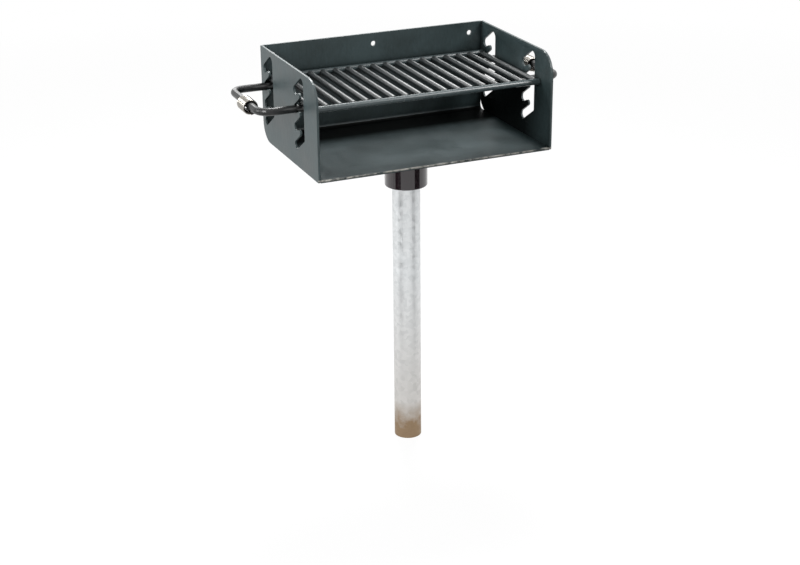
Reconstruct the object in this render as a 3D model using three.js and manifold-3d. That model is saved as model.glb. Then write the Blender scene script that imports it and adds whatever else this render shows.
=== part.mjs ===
// Park barbecue grill on a pedestal post, in millimetres, +Z up.
// The origin is on the post's axis at the ground line. The cook stands on the -Y side.
// A steel firebox turns on the post. Its side plates hold a rod grate at one of four
// heights, hooked in ladder slots. Loose wire coils on the handles stay cool to the hand.

import * as THREE from 'three';
import { mergeVertices } from 'three/addons/utils/BufferGeometryUtils.js';
import Module from 'manifold-3d';

const wasm = await Module();
wasm.setup();

// Fits
const SEAT_GAP = 0.3; // between pieces that touch or are welded together
const OVERRUN = 5; // how far a cutting tool runs past the face it cuts

// Post: 2 in nominal pipe, 48 in long
const POST_DIAMETER = 60.3;
const POST_WALL = 3.9;
const POST_LENGTH = 1219.2;
const FLOOR_HEIGHT = 685.8; // underside of the firebox floor above the ground line

// Post head: a disc with a plug that fills the pipe's mouth
const HEAD_DIAMETER = 76.2;
const HEAD_THICKNESS = 9.5;
const HEAD_PLUG_LENGTH = 25;
const HEAD_CHAMFER = 1.5;

// Collar that drops over the post, and the plate that joins it to the floor
const COLLAR_WALL = 6.35;
const COLLAR_HEIGHT = 82.5;
const COLLAR_CLEARANCE = 1.5; // radial, round the post head
const COLLAR_EDGE_RADIUS = 2;
const GUIDE_RING_THICKNESS = 9.5;
const GUIDE_RING_RECESS = 3; // above the collar's lower edge
const GUIDE_RING_CLEARANCE = 0.8; // radial, round the post
const SWIVEL_PLATE_SIZE = 152.4;
const SWIVEL_PLATE_THICKNESS = 6.35;
const SWIVEL_PLATE_CORNER = 12;

// Firebox: 3/16 in plate, 20 in wide inside
const INNER_WIDTH = 508;
const BOX_DEPTH = 330.2;
const BOX_HEIGHT = 203.2;
const PLATE = 4.8;
const BEND_RADIUS = 14.3; // outside of the bend between floor and back
const FRONT_CORNER_RADIUS = 46; // upper front corner of a side plate
const REAR_CORNER_RADIUS = 40; // lower rear corner, cut back from the bend to let rain out
const SMALL_CORNER_RADIUS = 3; // the other two corners of a side plate
const BACK_HOLE_DIAMETER = 11.1;
const BACK_HOLE_INSET = 25.4; // outer holes' centres in from the side plates
const BACK_HOLE_SHIFT = -4.5; // the row lies this far to the cook's left
const BACK_HOLE_DROP = 23; // centre below the back's top edge
const BACK_HOLE_COUNT = 3;

// Ladder slots: a channel along the front, with slanted pockets behind hooks
const FRONT_SLOT_SETBACK = 73.1; // from the box's front to the front slot's channel
const REAR_SLOT_SETBACK = 15.1; // from the box's rear to the rear slot's pockets
const SLOT_DEPTH = 58; // from the channel's front edge to the pockets' rear end
const SLOT_TOP_MARGIN = 11.7; // plate left above the slot
const LOWEST_POCKET = 36; // lowest pocket's bottom above the floor's underside
const LEVEL_COUNT = 4;
const GRATE_LEVEL = 1; // level the grate hangs at, counted from the top, which is 0
const CHANNEL_WIDTH = 24.6;
const POCKET_SLANT = THREE.MathUtils.degToRad(33); // below the horizontal
const POCKET_PLAY = 1.05; // pocket radius over the handle's
const HOOK_RADIUS = 6;
const SLOT_APEX_RADIUS = 12;
const SLOT_FOOT_RADIUS = 5;

// Grate of round rod
const ROD_DIAMETER = 12.7;
const ROD_COUNT = 18;
const ROD_SIDE_CLEARANCE = 2.5; // between the outermost rod and the side plate
const CROSS_ROD_CLEARANCE = 2.5; // between a cross rod's end and the side plate
const FRONT_ROD_SETBACK = 49.85; // from the box's front to the front cross rod's axis
const GRATE_REAR_CLEARANCE = 2.5; // between the rear cross rod and the back
const GRATE_SIDE_SHIFT = 1.5; // the loose grate lies this far to the cook's right

// Handles: U-bent rod, thicker than the grate's, legs lapped under the outermost grate rods
const HANDLE_DIAMETER = 15.9;
const HANDLE_REACH = 76.2; // side plate's outer face to the crosspiece's axis
const HANDLE_BEND_RADIUS = 25.4; // at the rod's axis
const LEG_LAP = 8; // leg's end inward of the outermost rod's axis

// Grips: a loose coil of plated wire on each crosspiece
const WIRE_DIAMETER = 4.76;
const COIL_GAP = 1; // between turns
const COIL_TURNS = 7;
const COIL_PLAY = 3.85; // radial, between the handle and the coil's flats
// How far each coil has slid forward from the handle's rear bend, of its room between the bends
const LEFT_GRIP_SLIDE_SHARE = 0.648970252;
const RIGHT_GRIP_SLIDE_SHARE = 0.042562929;

// Facets
const PIPE_SEGMENTS = 48;
const ROD_SEGMENTS = 16;
const ARC_SEGMENTS = 4;
const BEND_SEGMENTS = 8;
const HOLE_SEGMENTS = 20;
const HANDLE_SEGMENTS = 7;
const HANDLE_BEND_STEPS = 7;
const COIL_STEPS = 8; // per turn
const COIL_SIDES = 5;

// Finishes
const GALVANISED = { color: 0xc3c7c9, roughness: 0.42, metalness: 0.9 };
const BLACK_PAINT = { color: 0x3c4342, roughness: 0.45, metalness: 0.2 };
const BLACK_ROD = { color: 0x23272a, roughness: 0.3, metalness: 0.4 };
const ZINC_PLATE = { color: 0xd7d8d6, roughness: 0.25, metalness: 1.0 };

// Sizes worked out from the driving ones
const rodRadius = ROD_DIAMETER / 2;
const handleRadius = HANDLE_DIAMETER / 2;
const plateOuterX = INNER_WIDTH / 2 + PLATE;
const boxRearY = BOX_DEPTH / 2;
const boxFrontY = -BOX_DEPTH / 2;
const headRadius = HEAD_DIAMETER / 2;
const collarInnerRadius = headRadius + COLLAR_CLEARANCE;
const collarRadius = collarInnerRadius + COLLAR_WALL;
const swivelPlateTopZ = -SEAT_GAP;
const swivelPlateZ = swivelPlateTopZ - SWIVEL_PLATE_THICKNESS;
const headTopZ = swivelPlateZ - SEAT_GAP;
const headSeatZ = headTopZ - HEAD_THICKNESS;
const postTopZ = headSeatZ - SEAT_GAP;
const collarTopZ = swivelPlateZ - SEAT_GAP;

// A solid from a closed geometry, for cutting and joining
function toSolid(geometry) {
  const bare = geometry.clone();
  bare.deleteAttribute('normal');
  bare.deleteAttribute('uv');
  const merged = mergeVertices(bare);
  return new wasm.Manifold(new wasm.Mesh({
    numProp: 3,
    vertProperties: merged.attributes.position.array,
    triVerts: Uint32Array.from(merged.index.array),
  }));
}

// A drawable geometry from a solid
function toGeometry(solid) {
  const mesh = solid.getMesh();
  const geometry = new THREE.BufferGeometry();
  geometry.setAttribute('position', new THREE.BufferAttribute(mesh.vertProperties, mesh.numProp));
  geometry.setIndex(new THREE.BufferAttribute(mesh.triVerts, 1));
  geometry.computeVertexNormals();
  return geometry;
}

// A named piece with its own finish
function piece(name, geometry, finish) {
  const mesh = new THREE.Mesh(geometry, new THREE.MeshStandardMaterial(finish));
  mesh.name = name;
  return mesh;
}

// Turned pieces: the profile is a list of [radius, height] pairs about the Z axis
function turned(profile, segments) {
  const points = profile.map(([radius, height]) => new THREE.Vector2(radius, height));
  const geometry = new THREE.LatheGeometry(points, segments);
  geometry.rotateX(Math.PI / 2);
  return geometry;
}

// Side profiles are drawn as depth by height (Y by Z) and given their thickness along X
function crosswise(shape, thickness, curveSegments) {
  const geometry = new THREE.ExtrudeGeometry(shape, {
    depth: thickness,
    bevelEnabled: false,
    curveSegments,
  });
  geometry.rotateY(Math.PI / 2);
  geometry.rotateX(Math.PI / 2);
  return geometry;
}

// Post

function makePostPipe() {
  const outer = POST_DIAMETER / 2;
  const inner = outer - POST_WALL;
  const top = FLOOR_HEIGHT + postTopZ;
  const foot = top - POST_LENGTH;
  const profile = [[inner, foot], [outer, foot], [outer, top], [inner, top], [inner, foot]];
  return piece('post_pipe', turned(profile, PIPE_SEGMENTS), GALVANISED);
}

function makePostHead() {
  const plug = POST_DIAMETER / 2 - POST_WALL - SEAT_GAP;
  const top = FLOOR_HEIGHT + headTopZ;
  const seat = FLOOR_HEIGHT + headSeatZ;
  const profile = [
    [0, seat - HEAD_PLUG_LENGTH],
    [plug - HEAD_CHAMFER, seat - HEAD_PLUG_LENGTH],
    [plug, seat - HEAD_PLUG_LENGTH + HEAD_CHAMFER],
    [plug, seat],
    [headRadius, seat],
    [headRadius, top - HEAD_CHAMFER],
    [headRadius - HEAD_CHAMFER, top],
    [0, top],
  ];
  return piece('post_head', turned(profile, PIPE_SEGMENTS), GALVANISED);
}

// Swivel under the firebox, heights from the floor's underside

function makeSwivelPlate() {
  const half = SWIVEL_PLATE_SIZE / 2;
  const flat = half - SWIVEL_PLATE_CORNER;
  const shape = new THREE.Shape();
  shape.absarc(flat, flat, SWIVEL_PLATE_CORNER, 0, Math.PI / 2);
  shape.absarc(-flat, flat, SWIVEL_PLATE_CORNER, Math.PI / 2, Math.PI);
  shape.absarc(-flat, -flat, SWIVEL_PLATE_CORNER, Math.PI, Math.PI * 1.5);
  shape.absarc(flat, -flat, SWIVEL_PLATE_CORNER, Math.PI * 1.5, Math.PI * 2);
  const geometry = new THREE.ExtrudeGeometry(shape, {
    depth: SWIVEL_PLATE_THICKNESS,
    bevelEnabled: false,
    curveSegments: ARC_SEGMENTS,
  });
  const plate = piece('swivel_plate', geometry, BLACK_PAINT);
  plate.position.z = swivelPlateZ;
  return plate;
}

function makeCollarTube() {
  const foot = collarTopZ - COLLAR_HEIGHT;
  const edge = COLLAR_EDGE_RADIUS;
  const outerEdge = [0, 1, 2].map((step) => {
    const turn = (step / 2) * (Math.PI / 2);
    return [collarRadius - edge + edge * Math.sin(turn), foot + edge - edge * Math.cos(turn)];
  });
  const profile = [
    [collarInnerRadius, foot],
    ...outerEdge,
    [collarRadius, collarTopZ],
    [collarInnerRadius, collarTopZ],
    [collarInnerRadius, foot],
  ];
  return piece('collar_tube', turned(profile, PIPE_SEGMENTS), BLACK_PAINT);
}

function makeCollarGuideRing() {
  const outer = collarInnerRadius - SEAT_GAP;
  const inner = POST_DIAMETER / 2 + GUIDE_RING_CLEARANCE;
  const foot = collarTopZ - COLLAR_HEIGHT + GUIDE_RING_RECESS;
  const top = foot + GUIDE_RING_THICKNESS;
  const profile = [[inner, foot], [outer, foot], [outer, top], [inner, top], [inner, foot]];
  return piece('collar_guide_ring', turned(profile, PIPE_SEGMENTS), BLACK_PAINT);
}

// Firebox

function makeFloorAndBack() {
  const bendY = boxRearY - BEND_RADIUS;
  const profile = new THREE.Shape();
  profile.moveTo(boxFrontY, 0);
  profile.lineTo(bendY, 0);
  profile.absarc(bendY, BEND_RADIUS, BEND_RADIUS, -Math.PI / 2, 0);
  profile.lineTo(boxRearY, BOX_HEIGHT);
  profile.lineTo(boxRearY - PLATE, BOX_HEIGHT);
  profile.absarc(bendY, BEND_RADIUS, BEND_RADIUS - PLATE, 0, -Math.PI / 2, true);
  profile.lineTo(boxFrontY, PLATE);
  profile.closePath();
  const width = INNER_WIDTH - 2 * SEAT_GAP;
  const sheetGeometry = crosswise(profile, width, BEND_SEGMENTS);
  sheetGeometry.translate(-width / 2, 0, 0);
  let sheet = toSolid(sheetGeometry);

  const holePitch = (INNER_WIDTH - 2 * BACK_HOLE_INSET) / (BACK_HOLE_COUNT - 1);
  for (let index = 0; index < BACK_HOLE_COUNT; index += 1) {
    const radius = BACK_HOLE_DIAMETER / 2;
    const drill = new THREE.CylinderGeometry(radius, radius, PLATE + 2 * OVERRUN, HOLE_SEGMENTS);
    const x = BACK_HOLE_SHIFT + (index - (BACK_HOLE_COUNT - 1) / 2) * holePitch;
    drill.translate(x, boxRearY - PLATE / 2, BOX_HEIGHT - BACK_HOLE_DROP);
    sheet = sheet.subtract(toSolid(drill));
  }
  return piece('floor_and_back_sheet', toGeometry(sheet), BLACK_PAINT);
}

// Heights and places inside a ladder slot, as depth behind the channel's front edge by height
const pocketRadius = handleRadius + POCKET_PLAY;
const slantRise = Math.tan(POCKET_SLANT);
const slantSin = Math.sin(POCKET_SLANT);
const slantCos = Math.cos(POCKET_SLANT);
const pocketEndDepth = SLOT_DEPTH - pocketRadius;
// From a pocket's bottom up to where its upper edge, drawn on, would meet the front edge
const upperEdgeRise = pocketRadius * (1 + slantCos) + (pocketEndDepth + pocketRadius * slantSin) * slantRise;
const apexTangent = SLOT_APEX_RADIUS / Math.tan((Math.PI / 2 - POCKET_SLANT) / 2);
const topPocket = BOX_HEIGHT - SLOT_TOP_MARGIN - SLOT_APEX_RADIUS + apexTangent - upperEdgeRise;
const levelPitch = (topPocket - LOWEST_POCKET) / (LEVEL_COUNT - 1);

function pocketBottom(level) {
  return topPocket - level * levelPitch;
}

// The slot's outline, from the top of its front edge round the pockets and back up the channel
function slotOutline(frontEdgeY) {
  const path = new THREE.Path();
  const slantNormal = Math.PI / 2 - POCKET_SLANT;
  const apexZ = pocketBottom(0) + upperEdgeRise - apexTangent;
  const apexY = frontEdgeY + SLOT_APEX_RADIUS;
  path.absarc(apexY, apexZ, SLOT_APEX_RADIUS, Math.PI, slantNormal, true);
  for (let level = 0; level < LEVEL_COUNT; level += 1) {
    const endY = frontEdgeY + pocketEndDepth;
    const endZ = pocketBottom(level) + pocketRadius;
    if (level === LEVEL_COUNT - 1) {
      path.absarc(endY, endZ, pocketRadius, slantNormal, slantNormal - Math.PI, true);
      continue;
    }
    // The hook below this pocket lies on the next pocket's upper edge
    const hookDepth = CHANNEL_WIDTH + HOOK_RADIUS;
    const undersideZ = pocketBottom(level + 1) + upperEdgeRise - hookDepth * slantRise;
    const hookY = frontEdgeY + hookDepth;
    const hookZ = undersideZ + HOOK_RADIUS / slantCos;
    const apart = Math.hypot(hookY - endY, hookZ - endZ);
    const towardsHook = Math.atan2(hookZ - endZ, hookY - endY);
    const tangent = towardsHook + Math.acos((pocketRadius + HOOK_RADIUS) / apart);
    path.absarc(endY, endZ, pocketRadius, slantNormal, tangent, true);
    path.absarc(hookY, hookZ, HOOK_RADIUS, tangent + Math.PI, slantNormal + Math.PI, false);
  }
  const footTangent = SLOT_FOOT_RADIUS / Math.tan((Math.PI / 2 + POCKET_SLANT) / 2);
  const lowerEdgeRise = pocketRadius * (1 - slantCos) + (pocketEndDepth - pocketRadius * slantSin) * slantRise;
  const footZ = pocketBottom(LEVEL_COUNT - 1) + lowerEdgeRise + footTangent;
  const footY = frontEdgeY + SLOT_FOOT_RADIUS;
  path.absarc(footY, footZ, SLOT_FOOT_RADIUS, slantNormal + Math.PI, Math.PI, true);
  path.closePath();
  return path;
}

const slotFrontEdges = [boxFrontY + FRONT_SLOT_SETBACK, boxRearY - REAR_SLOT_SETBACK - SLOT_DEPTH];

function makeSidePlate(name, side) {
  const shape = new THREE.Shape();
  const front = FRONT_CORNER_RADIUS;
  const rear = REAR_CORNER_RADIUS;
  const small = SMALL_CORNER_RADIUS;
  shape.absarc(boxRearY - rear, rear, rear, -Math.PI / 2, 0);
  shape.absarc(boxRearY - small, BOX_HEIGHT - small, small, 0, Math.PI / 2);
  shape.absarc(boxFrontY + front, BOX_HEIGHT - front, front, Math.PI / 2, Math.PI);
  shape.absarc(boxFrontY + small, small, small, Math.PI, Math.PI * 1.5);
  shape.closePath();
  for (const frontEdgeY of slotFrontEdges) {
    shape.holes.push(slotOutline(frontEdgeY));
  }
  const plate = piece(name, crosswise(shape, PLATE, ARC_SEGMENTS), BLACK_PAINT);
  plate.position.x = side < 0 ? -plateOuterX : INNER_WIDTH / 2;
  return plate;
}

// Grate. Its frame stands at the axis height of the handle legs, over the post's axis.

const legHeight = pocketBottom(GRATE_LEVEL) + SEAT_GAP + handleRadius;
const rodHeight = handleRadius + SEAT_GAP + rodRadius; // of the grate rods over the legs
const rearRodY = boxRearY - PLATE - GRATE_REAR_CLEARANCE - rodRadius;
const frontRodY = boxFrontY + FRONT_ROD_SETBACK;
const outermostRodX = INNER_WIDTH / 2 - ROD_SIDE_CLEARANCE - rodRadius;
const legYs = slotFrontEdges.map((frontEdgeY) => frontEdgeY + pocketEndDepth);

function straightRod(name, length) {
  const geometry = new THREE.CylinderGeometry(rodRadius, rodRadius, length, ROD_SEGMENTS);
  return piece(name, geometry, BLACK_ROD);
}

function makeCrossRod(name, y) {
  const rod = straightRod(name, INNER_WIDTH - 2 * CROSS_ROD_CLEARANCE);
  rod.rotation.z = Math.PI / 2;
  rod.position.set(0, y, rodHeight);
  return rod;
}

function makeGrateRods() {
  const rods = [];
  const length = rearRodY - frontRodY - ROD_DIAMETER - 2 * SEAT_GAP;
  for (let index = 0; index < ROD_COUNT; index += 1) {
    const number = String(index + 1).padStart(2, '0');
    const rod = straightRod(`grate_rod_${number}`, length);
    const x = -outermostRodX + (index * 2 * outermostRodX) / (ROD_COUNT - 1);
    rod.position.set(x, (frontRodY + rearRodY) / 2, rodHeight);
    rods.push(rod);
  }
  return rods;
}

// The axis of a bent rod, with a station at each end and round each bend only
class BentRodAxis extends THREE.Curve {
  constructor(stations) {
    super();
    this.stations = stations;
  }

  station(share) {
    return this.stations[Math.round(share * (this.stations.length - 1))];
  }

  getPoint(share) {
    return this.station(share).point.clone();
  }

  getPointAt(share) {
    return this.getPoint(share);
  }

  getTangentAt(share) {
    return this.station(share).tangent.clone();
  }
}

const crosspieceX = plateOuterX + HANDLE_REACH;
const legEndX = outermostRodX - LEG_LAP;

function makeHandle(name, side) {
  const [frontLegY, rearLegY] = legYs;
  const stations = [];
  const addStation = (x, y, heading) => {
    const tangent = new THREE.Vector3(side * Math.cos(heading), Math.sin(heading), 0);
    stations.push({ point: new THREE.Vector3(side * x, y, 0), tangent });
  };
  const bend = (centreY, fromHeading) => {
    for (let step = 0; step <= HANDLE_BEND_STEPS; step += 1) {
      const heading = fromHeading + ((step / HANDLE_BEND_STEPS) * Math.PI) / 2;
      const x = crosspieceX - HANDLE_BEND_RADIUS + HANDLE_BEND_RADIUS * Math.sin(heading);
      addStation(x, centreY - HANDLE_BEND_RADIUS * Math.cos(heading), heading);
    }
  };
  addStation(legEndX, frontLegY, 0);
  bend(frontLegY + HANDLE_BEND_RADIUS, 0);
  bend(rearLegY - HANDLE_BEND_RADIUS, Math.PI / 2);
  addStation(legEndX, rearLegY, Math.PI);
  const section = new THREE.Shape();
  section.absarc(0, 0, handleRadius, 0, Math.PI * 2);
  const geometry = new THREE.ExtrudeGeometry(section, {
    steps: stations.length - 1,
    bevelEnabled: false,
    curveSegments: HANDLE_SEGMENTS,
    extrudePath: new BentRodAxis(stations),
  });
  return piece(name, geometry, BLACK_ROD);
}

// Grip coil about the Y axis, one unbroken wire, its ends straight for one wire diameter
const wireRadius = WIRE_DIAMETER / 2;
const coilPitch = WIRE_DIAMETER + COIL_GAP;
const coilFlatRadius = handleRadius + COIL_PLAY;
const coilRadius = (coilFlatRadius + wireRadius) / Math.cos(Math.PI / COIL_STEPS);
const coilLength = (COIL_TURNS + 1 / COIL_STEPS) * coilPitch;
const coilHang = COIL_PLAY - SEAT_GAP; // the loose coil hangs on the top of the handle

function coilRings() {
  const rings = [];
  const lead = coilPitch / (Math.PI * 2);
  const stepCount = COIL_TURNS * COIL_STEPS + 1;
  const stepAngle = (Math.PI * 2) / COIL_STEPS;
  // The ends overlap by a step at the bottom, so the loose coil hangs with them down
  // and one of its flats lies on the handle
  const startAngle = -(Math.PI + stepAngle) / 2;
  const addRing = (angle, along) => {
    const outward = new THREE.Vector3(Math.cos(angle), 0, Math.sin(angle));
    const tangent = new THREE.Vector3(-Math.sin(angle) * coilRadius, lead, Math.cos(angle) * coilRadius);
    tangent.normalize();
    const sideways = new THREE.Vector3().crossVectors(tangent, outward);
    const centre = outward.clone().multiplyScalar(coilRadius);
    centre.y = lead * (angle - startAngle) - coilLength / 2;
    centre.addScaledVector(tangent, along);
    const ring = [];
    for (let side = 0; side < COIL_SIDES; side += 1) {
      const turn = Math.PI + (side / COIL_SIDES) * Math.PI * 2;
      const point = centre.clone();
      point.addScaledVector(outward, wireRadius * Math.cos(turn));
      point.addScaledVector(sideways, wireRadius * Math.sin(turn));
      ring.push(point);
    }
    rings.push(ring);
  };
  addRing(startAngle, -WIRE_DIAMETER);
  for (let step = 0; step <= stepCount; step += 1) {
    addRing(startAngle + step * stepAngle, 0);
  }
  addRing(startAngle + stepCount * stepAngle, WIRE_DIAMETER);
  return rings;
}

// The least gap between points of the wire that lie more than half a turn apart
function leastCoilGap(rings) {
  let least = Infinity;
  for (let first = 0; first < rings.length; first += 1) {
    for (let second = first + COIL_STEPS / 2 + 1; second < rings.length; second += 1) {
      for (const a of rings[first]) {
        for (const b of rings[second]) {
          least = Math.min(least, a.distanceTo(b));
        }
      }
    }
  }
  return least;
}

function makeCoilGeometry() {
  const rings = coilRings();
  console.log(`least gap between the grip coil's turns: ${leastCoilGap(rings).toFixed(2)} mm`);
  const positions = rings.flat().flatMap((point) => point.toArray());
  const indices = [];
  for (let ring = 0; ring < rings.length - 1; ring += 1) {
    for (let side = 0; side < COIL_SIDES; side += 1) {
      const next = (side + 1) % COIL_SIDES;
      const a = ring * COIL_SIDES + side;
      const b = ring * COIL_SIDES + next;
      const c = a + COIL_SIDES;
      const d = b + COIL_SIDES;
      indices.push(a, b, c, b, d, c);
    }
  }
  const last = (rings.length - 1) * COIL_SIDES;
  for (let side = 1; side < COIL_SIDES - 1; side += 1) {
    indices.push(0, side + 1, side);
    indices.push(last, last + side, last + side + 1);
  }
  const geometry = new THREE.BufferGeometry();
  geometry.setAttribute('position', new THREE.Float32BufferAttribute(positions, 3));
  geometry.setIndex(indices);
  geometry.computeVertexNormals();
  return geometry;
}

// The left grip has slid forward on its handle, the right one lies near the rear bend
function makeGrip(name, side, slideShare, geometry) {
  const grip = piece(name, geometry, ZINC_PLATE);
  const [frontLegY, rearLegY] = legYs;
  const foremostY = frontLegY + HANDLE_BEND_RADIUS + wireRadius + coilLength;
  const rearmostY = rearLegY - HANDLE_BEND_RADIUS - wireRadius;
  const rearEndY = THREE.MathUtils.lerp(rearmostY, foremostY, slideShare);
  grip.position.set(side * crosspieceX, rearEndY - coilLength / 2, -coilHang);
  return grip;
}

function makeGrips() {
  const geometry = makeCoilGeometry();
  return [
    makeGrip('left_grip', -1, LEFT_GRIP_SLIDE_SHARE, geometry.clone()),
    makeGrip('right_grip', 1, RIGHT_GRIP_SLIDE_SHARE, geometry),
  ];
}

// Assembly

const grate = new THREE.Group();
grate.name = 'grate';
grate.position.set(GRATE_SIDE_SHIFT, 0, legHeight);
grate.add(makeCrossRod('grate_front_rod', frontRodY), makeCrossRod('grate_rear_rod', rearRodY));
grate.add(...makeGrateRods());
grate.add(makeHandle('left_handle', -1), makeHandle('right_handle', 1));
grate.add(...makeGrips());

const firebox = new THREE.Group();
firebox.name = 'firebox';
firebox.position.z = FLOOR_HEIGHT;
firebox.add(makeSwivelPlate(), makeCollarTube(), makeCollarGuideRing());
firebox.add(makeFloorAndBack());
firebox.add(makeSidePlate('left_side_plate', -1), makeSidePlate('right_side_plate', 1));
firebox.add(grate);

const grill = new THREE.Group();
grill.name = 'park_grill';
grill.add(makePostPipe(), makePostHead(), firebox);

export default grill;
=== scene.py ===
import math
import random

import bmesh
import bpy
from bpy.props import FloatProperty, FloatVectorProperty, IntProperty, PointerProperty
from bpy.types import Operator, Panel, PropertyGroup
from mathutils import Matrix, Vector


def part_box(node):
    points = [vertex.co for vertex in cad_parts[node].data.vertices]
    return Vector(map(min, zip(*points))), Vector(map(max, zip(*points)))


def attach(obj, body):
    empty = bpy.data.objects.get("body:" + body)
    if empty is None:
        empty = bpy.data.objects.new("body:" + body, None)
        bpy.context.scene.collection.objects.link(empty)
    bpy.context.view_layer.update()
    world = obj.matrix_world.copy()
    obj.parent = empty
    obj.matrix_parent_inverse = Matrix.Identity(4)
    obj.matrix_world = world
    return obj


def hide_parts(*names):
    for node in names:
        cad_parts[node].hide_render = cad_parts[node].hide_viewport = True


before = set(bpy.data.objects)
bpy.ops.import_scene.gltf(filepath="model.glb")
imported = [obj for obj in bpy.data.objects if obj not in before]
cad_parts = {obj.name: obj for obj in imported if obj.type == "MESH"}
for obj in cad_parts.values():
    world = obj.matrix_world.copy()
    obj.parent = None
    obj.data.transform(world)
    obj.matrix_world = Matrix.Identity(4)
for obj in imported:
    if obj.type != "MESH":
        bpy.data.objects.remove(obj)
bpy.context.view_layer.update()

bl_info = {
    "name": "Park Barbecue Grill",
    "version": (1, 0, 0),
    "blender": (4, 5, 0),
    "location": "3D View > Sidebar > Park Grill",
    "description": "Finishes the park barbecue grill and sets it on a studio stage",
    "category": "Object",
}

MM = 0.001
RODS = sorted(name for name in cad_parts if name.startswith("grate_rod_"))
SEED = 7

# Where the softboxes are aimed, in metres
AIM = Vector((0.0, 0.0, 0.75))
# Each softbox's name, place and side in metres, and the setting that holds its power
SOFTBOXES = (
    ("key_softbox", (0.62, 1.25, 3.0), 0.8, "key_power"),
    ("left_softbox", (-3.0, 0.2, 1.35), 1.0, "left_power"),
    ("left_front_softbox", (-2.4, -1.6, 2.2), 1.0, "left_front_power"),
    ("left_rear_softbox", (-2.2, 1.2, 2.4), 1.0, "left_rear_power"),
    ("right_front_softbox", (2.0, -2.2, 3.0), 1.2, "right_front_power"),
    ("rear_softbox", (0.5, 3.0, 1.9), 1.2, "rear_power"))
# Each flag's name, its bearing from the camera in degrees, its distance from the post, and its width
# and height, in metres
FLAGS = (("left_flag", -47.0, 0.8, 0.42, 0.5), ("right_flag", 60.5, 0.8, 0.36, 0.5))
# Share of the floor's look that is plain white near the object, which leaves the rest to its shadow.
# Beyond the shadow's reach, in metres, the floor fades to plain white
FLOOR_GLOW = 0.9
SHADOW_REACH = 1.4

# Most of a noise texture's values lie between these two
NOISE_LOW, NOISE_HIGH = 0.3, 0.7
# How much the orange peel adds to the clouds in the sprayed enamel's tone
PEEL_SHARE = 0.5
# Painted shade between the wire's turns thins out to nothing at this share of its radius above its middle
GROOVE_TOP = 0.75

# Corners of the CAD facets that lie this close are one, and facets that differ less than FLAT_ANGLE
# are one flat face. Edges sharper than EDGE_ANGLE are rounded
JOIN_DISTANCE = 0.001 * MM
FLAT_ANGLE = math.radians(0.2)
EDGE_ANGLE = math.radians(40)

# How finely the wire and the weld beads are drawn
WINDING_STEPS = 36
WIRE_SIDES = 14
BEAD_SIDES = 12
BEAD_STEPS_PER_RIPPLE = 5
RING_STEPS = 160
# A bead swells to its full size over this many ripples. It starts this share of the way along, so
# that its tip isn't a point
SWELL_RIPPLES = 1.5
TIP_SHARE = 0.02
# Uneven feeding of the weld wire changes a bead's size by up to this share from step to step
UNEVEN_SHARE = 0.02
# The ring of weld round the collar stops short of its start, after this share of the turn
RING_SHARE = 0.995
# Where the stitches lie along the seams under the floor and up the back, and how far they lie to each
# side of the middle of the swivel plate's edges
FLOOR_STITCHES = (0.12, 0.5, 0.86)
BACK_STITCHES = (0.35, 0.75)
PLATE_STITCH_SHIFT = 34 * MM


def linear(hex_colour):
    """An sRGB hex colour as a linear RGBA colour."""
    parts = [int(hex_colour[i:i + 2], 16) / 255 for i in (1, 3, 5)]
    return (*[c / 12.92 if c <= 0.04045 else ((c + 0.055) / 1.055) ** 2.4 for c in parts], 1.0)


# Settings

class StageSettings(PropertyGroup):
    """Camera, lamps and floor of the studio."""
    image_width: IntProperty(
        name="Image Width", description="Width of the photograph's frame", default=800, subtype="PIXEL")
    focal_pixels: FloatProperty(
        name="Focal Length", description="Focal length in pixels of the photograph's frame",
        default=1593.5065)
    sensor_width: FloatProperty(
        name="Sensor Width", description="Width of the sensor in millimetres", default=36.0)
    camera_place: FloatVectorProperty(
        name="Camera Place", description="Where the camera stands", subtype="TRANSLATION", unit="LENGTH",
        default=(-1.280176, -2.954081, 1.710210))
    camera_yaw: FloatProperty(
        name="Yaw", description="Turn of the view to the right of straight ahead", subtype="ANGLE",
        default=math.radians(23.16394702))
    camera_pitch: FloatProperty(
        name="Pitch", description="Tilt of the view below level", subtype="ANGLE",
        default=math.radians(22.62378427))
    camera_roll: FloatProperty(
        name="Roll", description="Roll of the view about its own line", subtype="ANGLE",
        default=math.radians(-0.54709027))
    sky_light: FloatProperty(
        name="Room Light", description="Strength of the room's even light on the object", default=0.1)
    key_power: FloatProperty(
        name="Key Lamp", description="Power of the softbox overhead, behind the grill", unit="POWER",
        default=96.0)
    left_power: FloatProperty(
        name="Left Lamp", description="Power of the low softbox at the left", unit="POWER", default=31.0)
    left_front_power: FloatProperty(
        name="Left Front Lamp", description="Power of the softbox at the left front", unit="POWER",
        default=48.0)
    left_rear_power: FloatProperty(
        name="Left Rear Lamp", description="Power of the softbox at the left rear", unit="POWER",
        default=22.0)
    right_front_power: FloatProperty(
        name="Right Front Lamp", description="Power of the softbox at the right front", unit="POWER",
        default=75.0)
    rear_power: FloatProperty(
        name="Rear Lamp", description="Power of the softbox behind the grill", unit="POWER", default=14.0)
    floor_radius: FloatProperty(
        name="Floor Radius", description="Radius of the studio floor", unit="LENGTH", default=14.0)
    floor_colour: FloatVectorProperty(
        name="Floor Colour", description="Colour of the studio floor", subtype="COLOR", size=4,
        default=linear("#fafafa"))
    floor_bounce: FloatVectorProperty(
        name="Floor Bounce", description="Colour of the floor for the light that it throws up",
        subtype="COLOR", size=4, default=linear("#8c8c8c"))


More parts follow.
